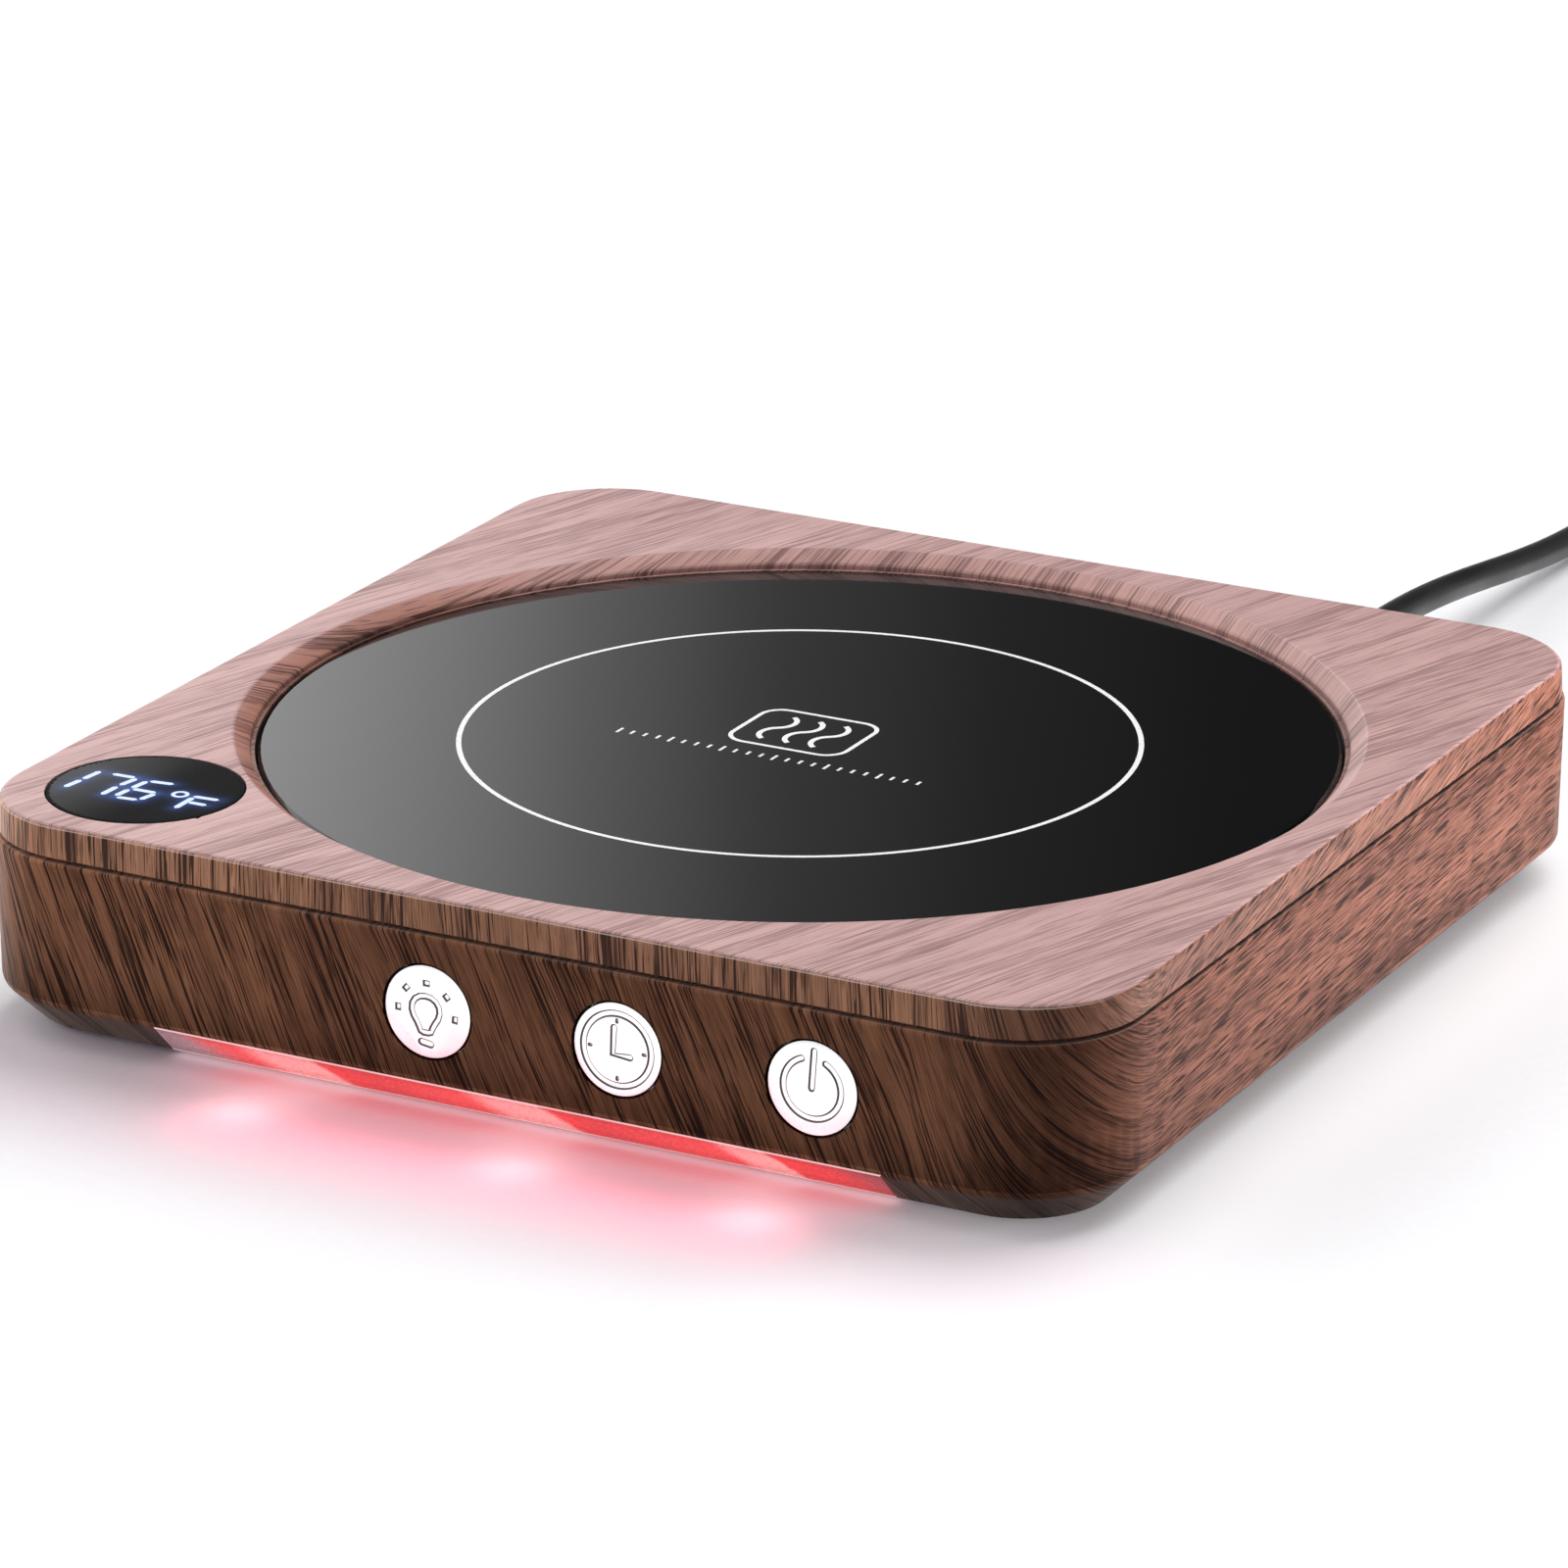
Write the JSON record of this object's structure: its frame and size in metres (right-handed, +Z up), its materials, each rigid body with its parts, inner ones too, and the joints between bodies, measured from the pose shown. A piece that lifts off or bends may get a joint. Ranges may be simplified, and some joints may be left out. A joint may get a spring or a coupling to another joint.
{
  "type": "electric mug warmer",
  "caption": "Square wood-grain desk warmer with a sunken black glass heating plate, round number display, push buttons, front light strip and a cord with a wall adapter.",
  "frame": {"origin": "on the desk under the middle of the square casing, at the underside of its feet", "axes": "+X to the right along the front face with the buttons, +Y to the back where the cord leaves, +Z up"},
  "size_m": [0.171, 0.2951, 0.026],
  "materials": {
    "walnut_film": "satin walnut-grain film over moulded plastic",
    "black_glass": "polished black glass",
    "smoked_window": "gloss smoked window",
    "black_plastic": "matt black moulded plastic",
    "black_rubber": "matt rubber",
    "silver_plastic": "satin silver",
    "frosted_red": "frosted diffuser lit red",
    "lamp": "emissive",
    "steel": "plated steel",
    "aluminium": "plain aluminium",
    "copper": "copper winding and foil under amber film",
    "felt": "glass-fibre felt",
    "board": "green solder mask",
    "chip": "moulded epoxy",
    "white_nylon": "white nylon",
    "wire": "insulated wire",
    "cord": "black cord sheath",
    "brass": "plated blades"
  },
  "bodies": {
    "casing": {"top_cover": "walnut_film", "lower_housing": "walnut_film", "base_cover": "black_plastic", "rubber_feet": "black_rubber", "base_screws": "steel", "glass_plate": "black_glass", "glass_gasket": "black_rubber", "heat_spreader": "aluminium", "heating_film": "copper", "insulation_pad": "felt", "heater_bracket": "steel", "bracket_screws": "steel", "thermal_fuse": "steel", "heat_sensor": "chip", "heater_wires": "wire", "display_window": "smoked_window", "display_module": "chip", "display_board": "board", "display_screws": "steel", "display_cable": "white_nylon", "tact_switches": "steel", "button_board": "board", "button_board_screws": "steel", "button_cable": "white_nylon", "light_bar": "frosted_red", "light_board": "board", "light_diodes": "lamp", "light_cable": "white_nylon", "main_board": "board", "main_board_screws": "steel", "controller_chip": "chip", "power_transistor": "chip", "choke_coil": "copper", "capacitors": "aluminium", "cord_terminal": "white_nylon", "heater_terminal": "white_nylon", "cable_sockets": "white_nylon", "supply_wires": "wire", "cord_clamp": "black_plastic", "clamp_screws": "steel", "strain_relief": "black_rubber", "power_cord": "cord", "cord_coil": "cord", "cord_tie": "black_rubber", "adapter_case": "black_plastic", "adapter_lid": "black_plastic", "adapter_boot": "black_rubber", "plug_blades": "brass"},
    "light_key": {"light_button": "silver_plastic", "light_plunger": "chip"},
    "timer_key": {"timer_button": "silver_plastic", "timer_plunger": "chip"},
    "power_key": {"power_button": "silver_plastic", "power_plunger": "chip"}
  },
  "joints": [
    {"name": "light_press", "type": "slide", "parent": "casing", "child": "light_key", "axis": [0, 1, 0], "range_m": [0, 0.0004], "stiffness_N_per_m": 400, "springref_m": -0.0006},
    {"name": "timer_press", "type": "slide", "parent": "casing", "child": "timer_key", "axis": [0, 1, 0], "range_m": [0, 0.0004], "stiffness_N_per_m": 400, "springref_m": -0.0006},
    {"name": "power_press", "type": "slide", "parent": "casing", "child": "power_key", "axis": [0, 1, 0], "range_m": [0, 0.0004], "stiffness_N_per_m": 400, "springref_m": -0.0006}
  ]
}
